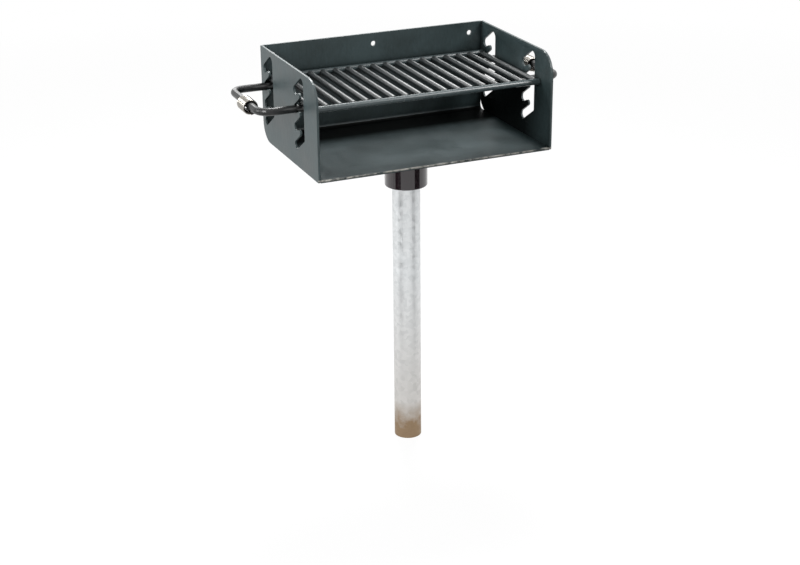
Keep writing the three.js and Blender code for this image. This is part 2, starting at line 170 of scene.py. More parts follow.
class FinishSettings(PropertyGroup):
    """Colours of the finishes."""
    enamel_dark: FloatVectorProperty(
        name="Enamel", description="High-heat enamel of the firebox", subtype="COLOR", size=4,
        default=linear("#263233"))
    enamel_light: FloatVectorProperty(
        name="Enamel Bloom", description="Enamel where the spray lay thinner", subtype="COLOR", size=4,
        default=linear("#334143"))
    rod_grey: FloatVectorProperty(
        name="Rod Grey", description="Dipped enamel of the grate's rods", subtype="COLOR", size=4,
        default=linear("#1c2223"))
    # A lighter copy of the rods' enamel, as painted light on the front faces of the two long bars
    lit_bar_grey: FloatVectorProperty(
        name="Bar Grey", description="Dipped enamel of the grate's two long bars", subtype="COLOR", size=4,
        default=linear("#3d484a"))
    handle_black: FloatVectorProperty(
        name="Handle Black", description="Dipped enamel of the handles", subtype="COLOR", size=4,
        default=linear("#0a0c0d"))
    collar_brown: FloatVectorProperty(
        name="Collar Brown", description="Gloss enamel of the swivel collar", subtype="COLOR", size=4,
        default=linear("#2e1f26"))
    zinc_pale: FloatVectorProperty(
        name="Galvanised", description="Pale spangle of the hot-dip zinc", subtype="COLOR", size=4,
        default=linear("#dddfe0"))
    zinc_grey: FloatVectorProperty(
        name="Galvanised Shade", description="Darker spangle of the hot-dip zinc", subtype="COLOR", size=4,
        default=linear("#cfd2d3"))
    soil_stain: FloatVectorProperty(
        name="Soil Stain", description="Splash stain on the post near the ground", subtype="COLOR", size=4,
        default=linear("#8f7a62"))
    wire_bright: FloatVectorProperty(
        name="Plated Wire", description="Bright zinc plate on the grips' wire", subtype="COLOR", size=4,
        default=linear("#a8a49d"))
    # Painted shade that darkens the wire between its turns
    groove_shade: FloatVectorProperty(
        name="Grime", description="Grease and soot between the turns of wire", subtype="COLOR", size=4,
        default=linear("#2e2b28"))
    # Painted shade: the colour laid at the rear of the floor, on the plates below the grate and in the
    # corners
    painted_shade: FloatVectorProperty(
        name="Soot", description="Sooty dry spray in the firebox's inner corners", subtype="COLOR", size=4,
        default=linear("#0a0c0c"))
    # Bright steel painted along the floor's front lip as the highlight of its edge
    highlight_steel: FloatVectorProperty(
        name="Worn Steel", description="Bare steel where the ash rake wears the front lip", subtype="COLOR",
        size=4, default=linear("#a09e98"))


class PartSettings(PropertyGroup):
    """Sizes of the pieces made here."""
    wire: FloatProperty(
        name="Wire", description="Diameter of the grips' spring wire", unit="LENGTH", default=4.76 * MM)
    coil_turns: IntProperty(
        name="Turns", description="Turns of wire in one grip", default=7)
    closed_pitch: FloatProperty(
        name="Closed Pitch", description="Pitch of the touching turns at each end", unit="LENGTH",
        default=4.85 * MM)
    edge_break: FloatProperty(
        name="Edge Break", description="Rounding of a sheared or sawn edge under paint", unit="LENGTH",
        default=0.6 * MM)
    bead: FloatProperty(
        name="Bead", description="Leg of a weld bead", unit="LENGTH", default=3.2 * MM)
    ripple: FloatProperty(
        name="Ripple", description="Spacing of the ripples along a weld bead", unit="LENGTH",
        default=2.4 * MM)
    left_lip_bead: FloatProperty(
        name="Left Lip Bead", description="How far the floor's left corner bead runs along the lip",
        unit="LENGTH", default=44 * MM)
    right_lip_bead: FloatProperty(
        name="Right Lip Bead", description="How far the floor's right corner bead runs along the lip",
        unit="LENGTH", default=20 * MM)
    seam_stitch: FloatProperty(
        name="Seam Stitch", description="Length of a stitch weld along the firebox's seams",
        unit="LENGTH", default=36 * MM)
    plate_stitch: FloatProperty(
        name="Plate Stitch", description="Length of a stitch weld along the swivel plate",
        unit="LENGTH", default=44 * MM)
    rod_bead: FloatProperty(
        name="Rod Bead", description="Length of the weld bead under a grate rod's end", unit="LENGTH",
        default=9 * MM)
    leg_bead: FloatProperty(
        name="Leg Bead", description="Length of a weld bead beside a handle's leg", unit="LENGTH",
        default=10 * MM)


# Materials

def add(tree, kind, settings=None, sockets=None):
    """Adds a node of that kind with its settings, and sets or links its input sockets."""
    node = tree.nodes.new(kind)
    for key, value in (settings or {}).items():
        setattr(node, key, value)
    for key, value in (sockets or {}).items():
        if isinstance(value, bpy.types.NodeSocket):
            tree.links.new(value, node.inputs[key])
        else:
            node.inputs[key].default_value = value
    return node


# Sockets of a colour Mix node, which has several of the same name
MIX_FACTOR, MIX_A, MIX_B, MIX_COLOUR = 0, 6, 7, 2


def new_material(name):
    """A new material with an empty tree, its output and its object coordinates."""
    material = bpy.data.materials.new(name)
    material.use_nodes = True
    tree = material.node_tree
    tree.nodes.clear()
    output = add(tree, "ShaderNodeOutputMaterial")
    place = add(tree, "ShaderNodeTexCoord").outputs["Object"]
    return material, tree, output, place


def per_metre(size):
    """The texture scale that gives a pattern of that size."""
    return 1.0 / size


def painted_lip_highlight(tree, place, split):
    """How strong the painted highlight on the floor's lip is: one where its edge shows bright bare steel,
    else zero.
    """
    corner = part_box("floor_and_back_sheet")[0]
    # The painted highlight breaks into streaks some 12 mm long
    streaks = add(tree, "ShaderNodeTexNoise", None,
                  {"Vector": place, "Scale": per_metre(12 * MM), "Detail": 4.0, "Roughness": 0.7})
    lip_highlight = add(tree, "ShaderNodeMapRange", None,
               {"Value": streaks.outputs["Fac"], "From Min": 0.4, "From Max": 0.6}).outputs["Result"]
    # The highlight lies on the lip's upper edge, and fades inward, down the lip's face and above the floor.
    # Each row is an axis, the place along it without the highlight and the place where it is full
    for axis, plain_at, full in (("Y", corner.y + 3 * MM, corner.y + 1.5 * MM),
                               ("Z", corner.z + 1.5 * MM, corner.z + 3 * MM),
                               ("Z", corner.z + 7 * MM, corner.z + 5 * MM)):
        fade = add(tree, "ShaderNodeMapRange", None,
                   {"Value": split.outputs[axis], "From Min": plain_at, "From Max": full})
        lip_highlight = add(tree, "ShaderNodeMath", {"operation": "MULTIPLY"},
                   {0: lip_highlight, 1: fade.outputs["Result"]}).outputs["Value"]
    return lip_highlight


def painted_shade_cover(tree, split):
    """How dark the painted shade lies, from zero to one: at the rear of the floor in the back wall's
    shadow, inside the side plates below the grate, and in the inner corners. A weaker band darkens the
    floor toward the lip."""
    sheet_low, sheet_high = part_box("floor_and_back_sheet")
    front = sheet_low.y
    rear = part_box("left_side_plate")[1].y
    grate_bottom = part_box(RODS[0])[0].z
    plate_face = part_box("right_side_plate")[0].x
    skin = 1 * MM
    # Layers of painted shade that thicken along Y: at the rear of the floor, on the side plates, and a
    # weaker band toward the lip. Each row is where one starts, where it is full and how full it is
    behind, beside, lip_band = [
        add(tree, "ShaderNodeMapRange", None,
            {"Value": split.outputs["Y"], "From Min": bare, "From Max": full, "To Max": most})
        for bare, full, most in ((rear - 107 * MM, rear - 75 * MM, 1.0),
                                 (front - 10 * MM, front + 110 * MM, 0.95),
                                 (front + 75 * MM, front, 0.4))]
    aside = add(tree, "ShaderNodeMath", {"operation": "ABSOLUTE"}, {0: split.outputs["X"]})
    on_plate = add(tree, "ShaderNodeMath", {"operation": "GREATER_THAN"},
                   {0: aside.outputs["Value"], 1: plate_face - skin})
    plated = add(tree, "ShaderNodeMath", {"operation": "MULTIPLY"},
                 {0: beside.outputs["Result"], 1: on_plate.outputs["Value"]})
    cover = behind.outputs["Result"]
    for layer in (plated.outputs["Value"], lip_band.outputs["Result"]):
        cover = add(tree, "ShaderNodeMath", {"operation": "MAXIMUM"},
                    {0: cover, 1: layer}).outputs["Value"]
    # The layers lie in front of the back wall and inside the plates, and thin out below the grate
    before_wall = add(tree, "ShaderNodeMath", {"operation": "LESS_THAN"},
                      {0: split.outputs["Y"], 1: sheet_high.y - 6 * MM})
    below = add(tree, "ShaderNodeMapRange", None,
                {"Value": split.outputs["Z"], "From Min": grate_bottom,
                 "From Max": grate_bottom - 30 * MM})
    inside = add(tree, "ShaderNodeMath", {"operation": "LESS_THAN"},
                 {0: aside.outputs["Value"], 1: plate_face + skin})
    for mask in (before_wall.outputs["Value"], below.outputs["Result"], inside.outputs["Value"]):
        cover = add(tree, "ShaderNodeMath", {"operation": "MULTIPLY"},
                    {0: cover, 1: mask}).outputs["Value"]
    # Painted shade darkens the inner corners too: the more a point is closed in by faces within 40 mm, the
    # more
    reached = add(tree, "ShaderNodeAmbientOcclusion", {"samples": 8}, {"Distance": 40 * MM})
    cornered = add(tree, "ShaderNodeMapRange", None,
                   {"Value": reached.outputs["AO"], "From Min": 0.45, "From Max": 0.75,
                    "To Min": 0.7, "To Max": 0.0})
    return add(tree, "ShaderNodeMath", {"operation": "MAXIMUM"},
               {0: cover, 1: cornered.outputs["Result"]}).outputs["Value"]


def sprayed_enamel():
    """High-heat enamel sprayed on sheared steel plate: a satin charcoal with faint cloudy bands, with a
    painted highlight of bright steel along the front lip and painted shade inside."""
    finish = bpy.context.scene.grill_finish
    material, tree, output, place = new_material("sprayed_high_heat_enamel")
    # The spray's overlapping passes leave clouds some 70 mm across, which the eye reads as uneven sheen
    clouds = add(tree, "ShaderNodeTexNoise", None,
                 {"Vector": place, "Scale": per_metre(70 * MM), "Detail": 3.0, "Roughness": 0.55})
    # Orange peel is about 1 mm on the real paint, and is drawn at 4 mm so that it still shows. It
    # sags into short upright runs on the walls
    sagged = add(tree, "ShaderNodeVectorMath", {"operation": "MULTIPLY"}, {0: place, 1: (1.0, 1.0, 0.25)})
    peel = add(tree, "ShaderNodeTexNoise", None,
               {"Vector": sagged.outputs["Vector"], "Scale": per_metre(4 * MM), "Detail": 2.0,
                "Roughness": 0.5})
    mottle = add(tree, "ShaderNodeMath", {"operation": "MULTIPLY_ADD"},
                 {0: peel.outputs["Fac"], 1: PEEL_SHARE, 2: clouds.outputs["Fac"]})
    # Both patterns average one half, and the tone runs from dark to light within 0.2 of their sum's
    # average
    middle = 0.5 + 0.5 * PEEL_SHARE
    tone = add(tree, "ShaderNodeMapRange", None,
               {"Value": mottle.outputs["Value"], "From Min": middle - 0.2, "From Max": middle + 0.2})
    paint = add(tree, "ShaderNodeMix", {"data_type": "RGBA"},
                {MIX_FACTOR: tone.outputs["Result"], MIX_A: finish.enamel_dark, MIX_B: finish.enamel_light})
    split = add(tree, "ShaderNodeSeparateXYZ", None, {"Vector": place})
    painted_shade = painted_shade_cover(tree, split)
    lip_highlight = painted_lip_highlight(tree, place, split)
    # Painted shade darkens the enamel at the rear of the floor, below the grate and in the inner corners
    shaded_paint = add(tree, "ShaderNodeMix", {"data_type": "RGBA"},
                 {MIX_FACTOR: painted_shade, MIX_A: paint.outputs[MIX_COLOUR], MIX_B: finish.painted_shade})
    # Bright steel painted along the lip's upper edge as its highlight
    colour = add(tree, "ShaderNodeMix", {"data_type": "RGBA"},
                 {MIX_FACTOR: lip_highlight, MIX_A: shaded_paint.outputs[MIX_COLOUR], MIX_B: finish.highlight_steel})
    # The painted shade takes the sheen away too, which darkens those places further
    sheen = add(tree, "ShaderNodeMapRange", None, {"Value": painted_shade, "To Min": 0.5, "To Max": 0.05})
    gloss = add(tree, "ShaderNodeMapRange", None,
                {"Value": clouds.outputs["Fac"], "From Min": NOISE_LOW, "From Max": NOISE_HIGH,
                 "To Min": 0.36, "To Max": 0.46})
    skin = add(tree, "ShaderNodeBump", None,
               {"Height": peel.outputs["Fac"], "Strength": 0.9, "Distance": 0.3 * MM})
    shader = add(tree, "ShaderNodeBsdfPrincipled", None,
                 {"Base Color": colour.outputs[MIX_COLOUR], "Roughness": gloss.outputs["Result"],
                  "Metallic": lip_highlight, "Normal": skin.outputs["Normal"], "IOR": 1.5,
                  "Specular IOR Level": sheen.outputs["Result"]})
    tree.links.new(shader.outputs["BSDF"], output.inputs["Surface"])
    return material


def dipped_enamel(name, colour, rough, axis=None):
    """Gloss enamel on hot-rolled bar. rough is how far the bar under it blurs the long highlights.
    Where axis names the bar's direction, fine rings left by the straightener draw its highlight into
    one long bright line."""
    material, tree, output, place = new_material(name)
    # The rolled bar is uneven over some 15 mm, which makes the long highlights waver
    roll = add(tree, "ShaderNodeTexNoise", None,
               {"Vector": place, "Scale": per_metre(15 * MM), "Detail": 2.0})
    gloss = add(tree, "ShaderNodeMapRange", None,
                {"Value": roll.outputs["Fac"], "From Min": NOISE_LOW, "From Max": NOISE_HIGH,
                 "To Min": rough - 0.03, "To Max": rough + 0.03})
    skin = add(tree, "ShaderNodeBump", None,
               {"Height": roll.outputs["Fac"], "Strength": 0.1, "Distance": 0.3 * MM})
    sockets = {"Base Color": colour, "Roughness": gloss.outputs["Result"],
               "Normal": skin.outputs["Normal"], "IOR": 1.5}
    if axis:
        rings = add(tree, "ShaderNodeTangent", {"direction_type": "RADIAL", "axis": axis})
        sockets.update({"Tangent": rings.outputs["Tangent"], "Anisotropic": 0.9,
                        "Anisotropic Rotation": 0.25, "Coat Weight": 0.75, "Coat Roughness": 0.25})
    shader = add(tree, "ShaderNodeBsdfPrincipled", None, sockets)
    tree.links.new(shader.outputs["BSDF"], output.inputs["Surface"])
    return material


def collar_enamel():
    """Gloss enamel on the turned collar: a brown black that mirrors the room in upright bands."""
    finish = bpy.context.scene.grill_finish
    material, tree, output, place = new_material("gloss_brown_enamel")
    # Dust in the thick coat shows as specks about 5 mm apart
    dust = add(tree, "ShaderNodeTexNoise", None,
               {"Vector": place, "Scale": per_metre(5 * MM), "Detail": 3.0})
    gloss = add(tree, "ShaderNodeMapRange", None,
                {"Value": dust.outputs["Fac"], "From Min": NOISE_LOW, "From Max": NOISE_HIGH,
                 "To Min": 0.1, "To Max": 0.2})
    skin = add(tree, "ShaderNodeBump", None,
               {"Height": dust.outputs["Fac"], "Strength": 0.15, "Distance": 0.3 * MM})
    shader = add(tree, "ShaderNodeBsdfPrincipled", None,
                 {"Base Color": finish.collar_brown, "Roughness": gloss.outputs["Result"],
                  "Normal": skin.outputs["Normal"], "IOR": 1.5, "Coat Weight": 0.7,
                  "Coat Roughness": gloss.outputs["Result"]})
    tree.links.new(shader.outputs["BSDF"], output.inputs["Surface"])
    return material


def galvanised_pipe():
    """Hot-dip galvanised steel pipe: pale matt zinc in faint crystals, stained by soil splash low down."""
    finish = bpy.context.scene.grill_finish
    material, tree, output, place = new_material("hot_dip_galvanised_pipe")
    # Zinc crystals on pipe are about 9 mm across, with ragged borders
    ragged = add(tree, "ShaderNodeTexNoise", None,
                 {"Vector": place, "Scale": per_metre(6 * MM), "Detail": 2.0})
    bent = add(tree, "ShaderNodeVectorMath", {"operation": "MULTIPLY_ADD"},
               {0: ragged.outputs["Color"], 1: (4 * MM, 4 * MM, 4 * MM), 2: place})
    crystals = add(tree, "ShaderNodeTexVoronoi", None,
                   {"Vector": bent.outputs["Vector"], "Scale": per_metre(9 * MM)})
    facet = add(tree, "ShaderNodeSeparateColor", None, {"Color": crystals.outputs["Color"]})
    zinc = add(tree, "ShaderNodeMix", {"data_type": "RGBA"},
               {MIX_FACTOR: facet.outputs["Red"], MIX_A: finish.zinc_pale, MIX_B: finish.zinc_grey})
    # Soil splash fades out some 90 mm above the ground line, broken up in 20 mm patches
    patches = add(tree, "ShaderNodeTexNoise", None,
                  {"Vector": place, "Scale": per_metre(20 * MM), "Detail": 4.0})
    height = add(tree, "ShaderNodeSeparateXYZ", None, {"Vector": place})
    low = add(tree, "ShaderNodeMapRange", None,
              {"Value": height.outputs["Z"], "From Min": 0.0, "From Max": 90 * MM,
               "To Min": 1.9, "To Max": 0.0})
    splash = add(tree, "ShaderNodeMath", {"operation": "MULTIPLY"},
                 {0: low.outputs["Result"], 1: patches.outputs["Fac"]})
    # Dust dulls the lower 400 mm
    dust = add(tree, "ShaderNodeMapRange", None,
               {"Value": height.outputs["Z"], "From Min": 0.0, "From Max": 400 * MM,
                "To Min": 0.4, "To Max": 0.0})
    soil = add(tree, "ShaderNodeMath", {"operation": "ADD", "use_clamp": True},
               {0: splash.outputs["Value"], 1: dust.outputs["Result"]})
    colour = add(tree, "ShaderNodeMix", {"data_type": "RGBA"},
                 {MIX_FACTOR: soil.outputs["Value"], MIX_A: zinc.outputs[MIX_COLOUR],
                  MIX_B: finish.soil_stain})
    gloss = add(tree, "ShaderNodeMapRange", None,
                {"Value": facet.outputs["Green"], "To Min": 0.38, "To Max": 0.55})
    skin = add(tree, "ShaderNodeBump", None,
               {"Height": patches.outputs["Fac"], "Strength": 0.2, "Distance": 0.6 * MM})
    shader = add(tree, "ShaderNodeBsdfPrincipled", None,
                 {"Base Color": colour.outputs[MIX_COLOUR], "Metallic": 1.0,
                  "Roughness": gloss.outputs["Result"], "Normal": skin.outputs["Normal"]})
    tree.links.new(shader.outputs["BSDF"], output.inputs["Surface"])
    return material


def plated_wire():
    """Bright zinc plate on drawn spring wire: hard highlights on every turn, painted shade between them."""
    finish = bpy.context.scene.grill_finish
    material, tree, output, place = new_material("bright_zinc_plated_wire")
    # Rack plating leaves the wire a little duller in spots some 6 mm long
    spots = add(tree, "ShaderNodeTexNoise", None,
                {"Vector": place, "Scale": per_metre(6 * MM), "Detail": 3.0})
    gloss = add(tree, "ShaderNodeMapRange", None,
                {"Value": spots.outputs["Fac"], "From Min": NOISE_LOW, "From Max": NOISE_HIGH,
                 "To Min": 0.08, "To Max": 0.16})
    # The winding marks how deep each point lies between the turns, where painted shade darkens the wire
    groove = add(tree, "ShaderNodeAttribute", {"attribute_name": "groove"})
    colour = add(tree, "ShaderNodeMix", {"data_type": "RGBA"},
                 {MIX_FACTOR: groove.outputs["Fac"], MIX_A: finish.wire_bright, MIX_B: finish.groove_shade})
    shader = add(tree, "ShaderNodeBsdfPrincipled", None,
                 {"Base Color": colour.outputs[MIX_COLOUR], "Metallic": 1.0,
                  "Roughness": gloss.outputs["Result"]})
    tree.links.new(shader.outputs["BSDF"], output.inputs["Surface"])
    return material


def studio_paper():
    """Matt white paper roll: white to the camera and in reflections, and it keeps the object's shadow."""
    stage = bpy.context.scene.grill_stage
    material, tree, output, place = new_material("matt_studio_paper")
    # Paper fibre, drawn at 30 mm so that it could show at all
    fibre = add(tree, "ShaderNodeTexNoise", None,
                {"Vector": place, "Scale": per_metre(30 * MM), "Detail": 2.0})
    bump = add(tree, "ShaderNodeBump", None,
               {"Height": fibre.outputs["Fac"], "Strength": 0.02, "Distance": 0.2 * MM})
    seen = seen_rays(tree)
    colour = add(tree, "ShaderNodeMix", {"data_type": "RGBA"},
                 {MIX_FACTOR: seen, MIX_A: stage.floor_bounce, MIX_B: stage.floor_colour})
    paper = add(tree, "ShaderNodeBsdfDiffuse", None,
                {"Color": colour.outputs[MIX_COLOUR], "Normal": bump.outputs["Normal"]})
    glow = add(tree, "ShaderNodeEmission", None, {"Color": (1.0, 1.0, 1.0, 1.0), "Strength": 1.0})
    far = add(tree, "ShaderNodeVectorMath", {"operation": "LENGTH"}, {0: place})
    glowing = add(tree, "ShaderNodeMapRange", None,
                  {"Value": far.outputs["Value"], "From Min": SHADOW_REACH, "From Max": 3 * SHADOW_REACH,
                   "To Min": FLOOR_GLOW, "To Max": 1.0})
    share = add(tree, "ShaderNodeMath", {"operation": "MULTIPLY"},
                {0: seen, 1: glowing.outputs["Result"]})
    mixed = add(tree, "ShaderNodeMixShader", None,
                {0: share.outputs["Value"], 1: paper.outputs["BSDF"], 2: glow.outputs["Emission"]})
    tree.links.new(mixed.outputs["Shader"], output.inputs["Surface"])
    return material


def black_cloth():
    """Matt cloth of the studio's flags, dark enough to read as black in a reflection."""
    material, tree, output, place = new_material("matt_black_cloth")
    # The weave, drawn at 4 mm
    weave = add(tree, "ShaderNodeTexNoise", None, {"Vector": place, "Scale": per_metre(4 * MM)})
    nap = add(tree, "ShaderNodeBump", None,
              {"Height": weave.outputs["Fac"], "Strength": 0.1, "Distance": 0.3 * MM})
    cloth = add(tree, "ShaderNodeBsdfDiffuse", None,
                {"Color": linear("#303030"), "Normal": nap.outputs["Normal"]})
    tree.links.new(cloth.outputs["BSDF"], output.inputs["Surface"])
    return material


def seen_rays(tree):
    """One for camera, glossy and transmission rays, and zero for the rays that light the object."""
    path = add(tree, "ShaderNodeLightPath")
    either = add(tree, "ShaderNodeMath", {"operation": "MAXIMUM"},
                 {0: path.outputs["Is Camera Ray"], 1: path.outputs["Is Glossy Ray"]})
    return add(tree, "ShaderNodeMath", {"operation": "MAXIMUM"},
               {0: either.outputs["Value"], 1: path.outputs["Is Transmission Ray"]}).outputs["Value"]


# Mesh helpers

def finish_node(material, *names):
    """Gives CAD nodes that material."""
    for name in names:
        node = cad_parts[name]
        if not node.material_slots:
            node.data.materials.append(material)
        for slot in node.material_slots:
            slot.material = material


def break_edges(*names):
    """Rounds the sharp edges of CAD nodes a little, as a coat of paint does."""
    width = bpy.context.scene.grill_parts.edge_break
    for name in names:
        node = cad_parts[name]
        join = node.modifiers.new("join_corners", "WELD")
        join.merge_threshold = JOIN_DISTANCE
        flat = node.modifiers.new("clear_flats", "DECIMATE")
        flat.decimate_type = "DISSOLVE"
        flat.angle_limit = FLAT_ANGLE
        bevel = node.modifiers.new("edge_break", "BEVEL")
        bevel.width = width
        bevel.segments = 2
        bevel.limit_method = "ANGLE"
        bevel.angle_limit = EDGE_ANGLE
        bevel.use_clamp_overlap = True
        bevel.harden_normals = True


def place_piece(name, mesh, material, body):
    """Puts a mesh into the scene as a piece that rides on a body."""
    mesh.materials.append(material)
    piece = bpy.data.objects.new(name, mesh)
    bpy.context.scene.collection.objects.link(piece)
    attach(piece, body)
    return piece


def sweep(made, path, across, sizes, sides):
    """Sweeps an oval along a path. across gives each point's outward direction, and sizes its half
    width and half height."""
    rings = []
    last = len(path) - 1
    for i, point in enumerate(path):
        along = (path[min(i + 1, last)] - path[max(i - 1, 0)]).normalized()
        up = (across[i] - along * across[i].dot(along)).normalized()
        side = along.cross(up)
        wide, high = sizes[i]
        rings.append([
            made.verts.new(point + side * (wide * math.cos(a)) + up * (high * math.sin(a)))
            for a in (2 * math.pi * k / sides for k in range(sides))])
    for low, high in zip(rings, rings[1:]):
        for k in range(sides):
            n = (k + 1) % sides
            made.faces.new((low[k], low[n], high[n], high[k]))
    made.faces.new(list(reversed(rings[0])))
    made.faces.new(rings[-1])


def rippled(phase, depth, draw):
    """A bead's size against its full one, where depth is the share that its ripples take away."""
    return 1 - depth + depth * abs(math.sin(math.pi * phase)) + draw.uniform(-UNEVEN_SHARE, UNEVEN_SHARE)


def weld_bead(made, middle, reach, outward, draw):
    """Lays one rippled weld bead. reach runs from its middle to its end, and outward away from the
    metal."""
    parts = bpy.context.scene.grill_parts
    ripples = max(2, round(2 * reach.length / parts.ripple))
    count = ripples * BEAD_STEPS_PER_RIPPLE
    path, across, sizes = [], [], []
    for i in range(count + 1):
        share = i / count
        # The bead swells from its start and tapers off to its crater
        from_end = min(share, 1 - share) * ripples / SWELL_RIPPLES
        swell = math.sin(math.pi / 2 * min(1.0, max(TIP_SHARE, from_end)))
        size = parts.bead * swell * rippled(share * ripples, 0.12, draw)
        path.append(middle + reach * (2 * share - 1))
        across.append(outward)
        sizes.append((size, 0.62 * size))
    sweep(made, path, across, sizes, BEAD_SIDES)


def finish_mesh(name, made, degrees=35):
    """Turns a bmesh into a smooth-shaded mesh."""
    bmesh.ops.recalc_face_normals(made, faces=made.faces)
    mesh = bpy.data.meshes.new(name)
    made.to_mesh(mesh)
    made.free()
    for face in mesh.polygons:
        face.use_smooth = True
    mesh.set_sharp_from_angle(angle=math.radians(degrees))
    return mesh


# Operators

class GRILL_OT_stage(Operator):
    """Makes the camera, the softboxes, the flags and the floor"""
    bl_idname = "grill.stage"
    bl_label = "Stage"

    def execute(self, context):
        stage = context.scene.grill_stage
        self.make_camera(context.scene, stage)
        self.make_softboxes(context.scene, stage)
        self.make_room(context.scene, stage)
        self.make_flags(context.scene, stage)
        self.make_floor(context.scene, stage)
        return {"FINISHED"}

    def make_camera(self, scene, stage):
        """The camera, where the photographer's stood."""
        data = bpy.data.cameras.new("camera")
        data.sensor_width = stage.sensor_width
        data.lens = stage.focal_pixels / stage.image_width * stage.sensor_width
        camera = bpy.data.objects.new("camera", data)
        scene.collection.objects.link(camera)
        camera.matrix_world = (
            Matrix.Translation(stage.camera_place)
            @ Matrix.Rotation(-stage.camera_yaw, 4, "Z")
            @ Matrix.Rotation(math.pi / 2 - stage.camera_pitch, 4, "X")
            @ Matrix.Rotation(stage.camera_roll, 4, "Z"))
        scene.camera = camera
        scene.view_settings.view_transform = "Standard"

    def make_softboxes(self, scene, stage):
        """The square softboxes, all aimed at the firebox."""
        for name, place, side, power in SOFTBOXES:
            lamp = bpy.data.lights.new(name, "AREA")
            lamp.shape = "SQUARE"
            lamp.size = side
            lamp.energy = getattr(stage, power)
            holder = bpy.data.objects.new(name, lamp)
            scene.collection.objects.link(holder)
            turn = (Vector(place) - AIM).to_track_quat("Z", "Y").to_matrix().to_4x4()
            holder.matrix_world = Matrix.Translation(place) @ turn

    def make_room(self, scene, stage):
        """The room: white where it is seen, dim where it lights the object."""
        world = bpy.data.worlds.new("white_room")
        world.use_nodes = True
        tree = world.node_tree
        tree.nodes.clear()
        output = add(tree, "ShaderNodeOutputWorld")
        strength = add(tree, "ShaderNodeMapRange", None,
                       {"Value": seen_rays(tree), "To Min": stage.sky_light, "To Max": 1.0})
        room = add(tree, "ShaderNodeBackground", None,
                   {"Color": (1.0, 1.0, 1.0, 1.0), "Strength": strength.outputs["Result"]})
        tree.links.new(room.outputs["Background"], output.inputs["Surface"])
        scene.world = world

    def make_flags(self, scene, stage):
        """Flags that draw dark bands into gloss and metal. Only reflections see them."""
        cloth = black_cloth()
        to_camera = math.atan2(stage.camera_place[1], stage.camera_place[0])
        for name, bearing, distance, width, height in FLAGS:
            turn = Matrix.Rotation(to_camera + math.radians(bearing), 4, "Z")
            made = bmesh.new()
            made.faces.new([
                made.verts.new(turn @ Vector((distance, across * width / 2, up * height)))
                for across, up in ((-1, 0), (1, 0), (1, 1), (-1, 1))])
            flag = self.place_prop(scene, name, made, cloth)
            flag.visible_camera = False
            flag.visible_diffuse = False
            flag.visible_shadow = False

    def make_floor(self, scene, stage):
        """The floor, a disc of studio paper."""
        made = bmesh.new()
        bmesh.ops.create_circle(made, cap_ends=True, radius=stage.floor_radius, segments=96)
        floor = self.place_prop(scene, "studio_floor", made, studio_paper())

    def place_prop(self, scene, name, made, material):
        """Turns a bmesh into an object of the stage."""
        mesh = bpy.data.meshes.new(name)
        made.to_mesh(mesh)
        made.free()
        mesh.materials.append(material)
        prop = bpy.data.objects.new(name, mesh)
        scene.collection.objects.link(prop)
        return prop


class GRILL_OT_post(Operator):
    """Finishes the pipe post and the head that closes it in galvanised zinc"""
    bl_idname = "grill.post"
    bl_label = "Post"

    def execute(self, context):
        finish_node(galvanised_pipe(), "post_pipe", "post_head")
        return {"FINISHED"}


class GRILL_OT_swivel(Operator):
    """Finishes the collar that turns on the post, its ring and its plate, and welds them"""
    bl_idname = "grill.swivel"
    bl_label = "Swivel"

    def execute(self, context):
        enamel = collar_enamel()
        finish_node(enamel, "collar_tube", "collar_guide_ring", "swivel_plate")
        break_edges("swivel_plate")
        draw = random.Random(SEED)
        made = bmesh.new()
        parts = context.scene.grill_parts
        plate_low, plate_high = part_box("swivel_plate")
        self.weld_ring(made, parts, plate_low.z, draw)
        self.weld_stitches(made, parts, plate_high, draw)
        place_piece("swivel_welds", finish_mesh("swivel_welds", made), enamel, "firebox")
        return {"FINISHED"}

    def weld_ring(self, made, parts, plate_bottom, draw):
        """Lays a ring of weld in the corner between the collar and the plate."""
        low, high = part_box("collar_tube")
        radius = (high.x - low.x) / 2
        # The bead's middle stands a quarter of its leg out of the corner, both ways
        stand = 0.25 * parts.bead
        height = Vector((0, 0, plate_bottom - stand))
        path, across, sizes = [], [], []
        for i in range(RING_STEPS + 1):
            a = 2 * math.pi * i / RING_STEPS * RING_SHARE
            out = Vector((math.cos(a), math.sin(a), 0.0))
            size = parts.bead * rippled(a * radius / parts.ripple, 0.1, draw)
            path.append(out * (radius + stand) + height)
            across.append((out - Vector((0, 0, 1))).normalized())
            sizes.append((size, 0.7 * size))
        sweep(made, path, across, sizes, BEAD_SIDES)

    def weld_stitches(self, made, parts, plate_high, draw):
        """Lays two stitches on each side of the plate, which hold it to the floor above it."""
        lift = Vector((0, 0, plate_high.z - 0.2 * parts.bead))
        for turn in range(4):
            spin = Matrix.Rotation(turn * math.pi / 2, 3, "Z")
            outward = (spin @ Vector((1, 0, 0)) - Vector((0, 0, 1))).normalized()
            for shift in (-PLATE_STITCH_SHIFT, PLATE_STITCH_SHIFT):
                middle = spin @ Vector((plate_high.x, shift, 0)) + lift
                weld_bead(made, middle, spin @ Vector((0, parts.plate_stitch / 2, 0)), outward, draw)


